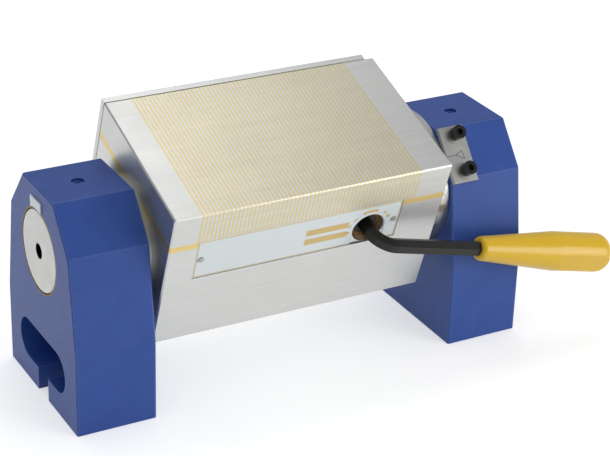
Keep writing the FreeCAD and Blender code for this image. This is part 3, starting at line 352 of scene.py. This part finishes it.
PLATE_LOW, PLATE_HIGH = span("nameplate", CHUCK)
BUSH_LOW, BUSH_HIGH = span("cam_bush", CHUCK)
HOLE = ((BUSH_LOW.x + BUSH_HIGH.x) / 2, (BUSH_LOW.z + BUSH_HIGH.z) / 2)
DIAL_LOW, DIAL_HIGH = span("tilt_dial", CHUCK)
DIAL_RADIUS = DIAL_HIGH.y
DIAL_EDGE = DIAL_HIGH.x - 0.9


def put(name, mesh, body):
    """Show a mesh as a piece that rides on a body."""
    item = bpy.data.objects.new(name, mesh)
    bpy.context.scene.collection.objects.link(item)
    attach(item, body)


def make_piece(name, body, finish, base, polygons):
    """A piece of separate polygons, given in millimetres in one of the part's own frames."""
    vertices, faces = gather(polygons)
    mesh = bpy.data.meshes.new(name)
    mesh.from_pydata([tuple(base @ (Vector(point) * MM)) for point in vertices], [], faces)
    mesh.update()
    mesh.materials.append(finish)
    put(name, mesh, body)


def gather(polygons):
    """Join separate polygons into one list of points and one of faces."""
    vertices, faces = [], []
    for polygon in polygons:
        faces.append(tuple(range(len(vertices), len(vertices) + len(polygon))))
        vertices.extend(polygon)
    return vertices, faces


def rectangle(x_low, x_high, z_low, z_high):
    return [(x_low, z_low), (x_high, z_low), (x_high, z_high), (x_low, z_high)]


def arc_strips(centre, inner, outer, start, end, steps=10):
    """Short four-sided strips that follow an arc, angles in degrees from local +X."""
    strips = []
    for step in range(steps):
        low = math.radians(start + (end - start) * step / steps)
        high = math.radians(start + (end - start) * (step + 1) / steps)
        corners = ((inner, low), (outer, low), (outer, high), (inner, high))
        strips.append([(centre[0] + radius * math.cos(turn), centre[1] + radius * math.sin(turn))
                       for radius, turn in corners])
    return strips


def arrow_head(centre, radius, angle, length, half_width):
    """A triangle on an arc that points the way the angle grows."""
    base = math.radians(angle)
    tip = math.radians(angle + math.degrees(length / radius))
    corners = ((radius - half_width, base), (radius + half_width, base), (radius, tip))
    return [(centre[0] + reach * math.cos(turn), centre[1] + reach * math.sin(turn))
            for reach, turn in corners]


def nameplate_print():
    """Gold line round the plate, two blank gold panels and a turning scale over the switching hole."""
    inset, line, notch = 0.35, 0.55, 11.2
    left, right = PLATE_LOW.x + inset, PLATE_HIGH.x - inset
    low, high = PLATE_LOW.z + inset, PLATE_HIGH.z - inset
    shapes = [rectangle(left, right, high - line, high),
              rectangle(left, left + line, low + line, high - line),
              rectangle(right - line, right, low + line, high - line),
              rectangle(left, HOLE[0] - notch, low, low + line),
              rectangle(HOLE[0] + notch, right, low, low + line),
              rectangle(-6.5, 21.0, 21.4, 25.8), rectangle(-6.5, 21.0, 14.4, 18.8)]
    shapes += arc_strips(HOLE, 12.7, 14.5, 74, 116)
    shapes += arc_strips(HOLE, 13.0, 14.2, 132, 146, 4) + arc_strips(HOLE, 13.0, 14.2, 156, 168, 4)
    shapes += [arrow_head(HOLE, 13.6, 178, 3.2, 1.7)]
    shapes += arc_strips(HOLE, 13.0, 14.2, 44, 56, 4)
    backwards = arrow_head(HOLE, 13.6, 36, -3.2, 1.7)
    shapes += [[backwards[1], backwards[0], backwards[2]]]
    face = PLATE_LOW.y - PRINT_LIFT
    polygons = [[(x, face, z) for x, z in shape] for shape in shapes]
    make_piece("nameplate_print", "chuck", GOLD_INK, CHUCK, polygons)


def adhesive_bed():
    """Painted shadow: black strips in the gap round the nameplate, standing in for the shade of the recess
    wall.
    """
    gap, thickness = 0.28, 0.35
    face = PLATE_HIGH.y - thickness
    left, right, low, high = PLATE_LOW.x, PLATE_HIGH.x, PLATE_LOW.z, PLATE_HIGH.z
    shapes = [rectangle(left - gap, left, low - gap, high + gap),
              rectangle(right, right + gap, low - gap, high + gap),
              rectangle(left, right, high, high + gap), rectangle(left, right, low - gap, low)]
    polygons = [[(x, face, z) for x, z in shape] for shape in shapes]
    make_piece("nameplate_painted_gap_shadow", "chuck", GAP_SHADOW, CHUCK, polygons)


def pointer_marks():
    """The engraved index line and open triangle on the pointer plate."""
    inner_face = span("right_bracket", LEVEL)[0].x
    corner = Vector((inner_face, -SLOPE_LOW[0], SLOPE_LOW[1])) * MM
    slope = math.atan2(SLOPE_HIGH[1] - SLOPE_LOW[1], SLOPE_LOW[0] - SLOPE_HIGH[0])
    plate = Matrix.Translation(corner) @ Matrix.Rotation(slope, 4, "X")
    face = span("pointer_plate", plate)[1].z + PRINT_LIFT
    half = 0.17
    tip = (6.4, POINTER_LINE)
    far_low, far_high = (11.5, POINTER_LINE - 2.9), (11.3, POINTER_LINE + 2.3)
    strokes = [((0.1, POINTER_LINE), tip), (tip, far_high), (far_high, far_low), (far_low, tip)]
    polygons = []
    for start, end in strokes:
        along = Vector(end) - Vector(start)
        side = Vector((-along.y, along.x)).normalized() * half
        corners = (Vector(start) - side, Vector(end) - side, Vector(end) + side, Vector(start) + side)
        polygons.append([(corner.x, corner.y, face) for corner in corners])
    make_piece("pointer_marks", "stand", ENGRAVING, plate, polygons)


def dial_tree():
    """Geometry nodes: graduations round the dial's rim, one a degree, longer at fives and tens."""
    tree = bpy.data.node_groups.new("dial_graduations", "GeometryNodeTree")
    face = tree.interface
    face.new_socket("Geometry", in_out="INPUT", socket_type="NodeSocketGeometry")
    sockets = {}
    for name, kind in (("First Angle", "NodeSocketFloat"), ("Degrees", "NodeSocketInt"),
                       ("Rim Radius", "NodeSocketFloat"), ("Rim Edge", "NodeSocketFloat"),
                       ("Line Length", "NodeSocketFloat"), ("Line Width", "NodeSocketFloat"),
                       ("Finish", "NodeSocketMaterial")):
        sockets[name] = face.new_socket(name, in_out="INPUT", socket_type=kind).identifier
    face.new_socket("Geometry", in_out="OUTPUT", socket_type="NodeSocketGeometry")
    given = add(tree, "NodeGroupInput").outputs
    result = add(tree, "NodeGroupOutput")

    number = add(tree, "GeometryNodeInputIndex").outputs[0]
    angle = calc(tree, "ADD", given["First Angle"], calc(tree, "RADIANS", number))
    ten = calc(tree, "LESS_THAN", calc(tree, "MODULO", number, 10.0), 0.5)
    five = calc(tree, "LESS_THAN", calc(tree, "MODULO", number, 5.0), 0.5)
    share = calc(tree, "ADD", calc(tree, "MULTIPLY", ten, 0.3), calc(tree, "MULTIPLY", five, 0.25))
    length = calc(tree, "MULTIPLY", given["Line Length"], calc(tree, "ADD", share, 0.45))
    along = calc(tree, "SUBTRACT", given["Rim Edge"], calc(tree, "MULTIPLY", length, 0.5))
    rim = given["Rim Radius"]
    across = calc(tree, "MULTIPLY", calc(tree, "SINE", angle), calc(tree, "MULTIPLY", rim, -1.0))
    upward = calc(tree, "MULTIPLY", calc(tree, "COSINE", angle), rim)
    spot = add(tree, "ShaderNodeCombineXYZ", {0: along, 1: across, 2: upward}).outputs[0]
    count = calc(tree, "ADD", given["Degrees"], 1.0)
    points = add(tree, "GeometryNodePoints", {"Count": count, "Position": spot}).outputs[0]
    turn = add(tree, "ShaderNodeCombineXYZ", {0: angle}).outputs[0]
    stretch = add(tree, "ShaderNodeCombineXYZ", {0: length, 1: given["Line Width"], 2: 0.06 * MM}).outputs[0]
    block = add(tree, "GeometryNodeMeshCube", {"Size": (1.0, 1.0, 1.0)}).outputs["Mesh"]
    lines = add(tree, "GeometryNodeInstanceOnPoints",
                {"Points": points, "Instance": block, "Rotation": turn, "Scale": stretch}).outputs[0]
    turned = add(tree, "GeometryNodeTransform",
                 {"Geometry": lines, "Translation": (0, 0, AXIS_HEIGHT), "Rotation": (TILT, 0, 0)}).outputs[0]
    real = add(tree, "GeometryNodeRealizeInstances", {"Geometry": turned}).outputs[0]
    finished = add(tree, "GeometryNodeSetMaterial", {"Geometry": real, "Material": given["Finish"]})
    link(tree, finished.outputs[0], result.inputs[0])
    return tree, sockets


def dial_graduations():
    """Graduations from the chuck tipped right back to tipped forward, read at the pointer."""
    tree, sockets = dial_tree()
    base = bpy.data.objects.new("dial_marks_base", bpy.data.meshes.new("dial_marks_base"))
    bpy.context.scene.collection.objects.link(base)
    pattern = base.modifiers.new("graduations", "NODES")
    pattern.node_group = tree
    values = {"First Angle": math.radians(POINTER_ANGLE - DIAL_FORWARD), "Degrees": DIAL_BACK + DIAL_FORWARD,
              "Rim Radius": DIAL_RADIUS * MM, "Rim Edge": DIAL_EDGE * MM, "Line Length": 4.6 * MM,
              "Line Width": 0.16 * MM, "Finish": ENGRAVING}
    for name, value in values.items():
        pattern[sockets[name]] = value
    seen = base.evaluated_get(bpy.context.evaluated_depsgraph_get())
    mesh = bpy.data.meshes.new_from_object(seen)
    mesh.name = "dial_graduations"
    bpy.data.objects.remove(base)
    put("dial_graduations", mesh, "chuck")


def number_mesh(value):
    """A flat number, its middle on the origin."""
    curve = bpy.data.curves.new("number", "FONT")
    curve.body = str(value)
    curve.size = 2.9 * MM
    curve.align_x = "CENTER"
    curve.align_y = "CENTER"
    curve.resolution_u = 3
    text = bpy.data.objects.new("number", curve)
    bpy.context.scene.collection.objects.link(text)
    mesh = bpy.data.meshes.new_from_object(text.evaluated_get(bpy.context.evaluated_depsgraph_get()))
    bpy.data.objects.remove(text)
    return mesh


def dial_numbers():
    """Engraved numbers each ten degrees round the rim, inward of the graduations."""
    place_on_rim = Vector((DIAL_EDGE - 6.6, 0, DIAL_RADIUS + PRINT_LIFT + 0.02)) * MM
    polygons = []
    for value in range(-DIAL_BACK, DIAL_FORWARD + 1, 10):
        mesh = number_mesh(abs(value))
        turn = Matrix.Rotation(math.radians(POINTER_ANGLE - value), 4, "X")
        mesh.transform(turn @ Matrix.Translation(place_on_rim) @ Matrix.Rotation(-math.pi / 2, 4, "Z"))
        for face in mesh.polygons:
            polygons.append([mesh.vertices[index].co / MM for index in face.vertices])
    make_piece("dial_numbers", "chuck", ENGRAVING, CHUCK, polygons)


nameplate_print()
adhesive_bed()
pointer_marks()
dial_graduations()
dial_numbers()


# ---- stage ----

def look_at(item, position, target, roll=0.0):
    """Stand an item at a place and aim it, turned about its own axis by the roll."""
    direction = Vector(target) - Vector(position)
    item.rotation_mode = "QUATERNION"
    turn = direction.to_track_quat("-Z", "Y")
    item.rotation_quaternion = turn @ Matrix.Rotation(roll, 4, "Z").to_quaternion()
    item.location = position


def make_camera():
    data = bpy.data.cameras.new("camera")
    data.lens = 113.67
    data.sensor_width = 36.0
    data.clip_end = 20.0
    item = bpy.data.objects.new("camera", data)
    bpy.context.scene.collection.objects.link(item)
    look_at(item, (-0.483235, -0.901189, 0.575545), (-0.252256, -0.490148, 0.345791), 0.033)
    bpy.context.scene.camera = item


def soft_box(name, position, target, width, height, power):
    """A large rectangular studio light."""
    data = bpy.data.lights.new(name, "AREA")
    data.shape = "RECTANGLE"
    data.size = width
    data.size_y = height
    data.energy = power
    item = bpy.data.objects.new(name, data)
    bpy.context.scene.collection.objects.link(item)
    look_at(item, position, target)


def make_floor():
    """A pale floor that stays white beside the part and keeps its soft shadow."""
    size = 4.0
    mesh = bpy.data.meshes.new("floor")
    corners = [(-size, -size, 0), (size, -size, 0), (size, size, 0), (-size, size, 0)]
    mesh.from_pydata(corners, [], [(0, 1, 2, 3)])
    floor = bpy.data.objects.new("floor", mesh)
    bpy.context.scene.collection.objects.link(floor)
    made, tree, surface = material("pale_studio_floor")
    set_values(surface, color=(0.9, 0.9, 0.9, 1.0), rough=0.9, specular=0.1)
    path = add(tree, "ShaderNodeLightPath").outputs
    seen = calc(tree, "MAXIMUM", path["Is Camera Ray"], path["Is Glossy Ray"])
    surface.inputs["Emission Color"].default_value = (1.0, 1.0, 1.0, 1.0)
    link(tree, calc(tree, "MULTIPLY", seen, 0.5), surface.inputs["Emission Strength"])
    mesh.materials.append(made)


def make_world():
    """White behind the part, and an even grey-white light on it."""
    world = bpy.data.worlds.new("studio")
    bpy.context.scene.world = world
    world.use_nodes = True
    tree = world.node_tree
    tree.nodes.clear()
    light = add(tree, "ShaderNodeBackground", {"Color": (0.95, 0.97, 1.0, 1.0), "Strength": 0.46})
    white = add(tree, "ShaderNodeBackground", {"Color": (1.0, 1.0, 1.0, 1.0), "Strength": 1.0})
    path = add(tree, "ShaderNodeLightPath")
    pick = add(tree, "ShaderNodeMixShader", {0: path.outputs["Is Camera Ray"], 1: light.outputs[0],
                                             2: white.outputs[0]})
    output = add(tree, "ShaderNodeOutputWorld")
    link(tree, pick.outputs[0], output.inputs["Surface"])


make_floor()
make_world()
make_camera()
for light_name, light_place, light_target, width, height, power in (
        ("key_above", (0.12, 0.55, 1.5), (0, 0, 0.08), 1.0, 0.9, 5),
        ("fill_front", (1.1, -1.3, 0.34), (0, 0, 0.08), 1.2, 0.9, 13),
        ("fill_left", (-1.7, -0.25, 0.7), (-0.1, 0, 0.08), 0.9, 0.9, 0.4)):
    soft_box(light_name, light_place, light_target, width, height, power)
bpy.context.scene.view_settings.view_transform = "Standard"
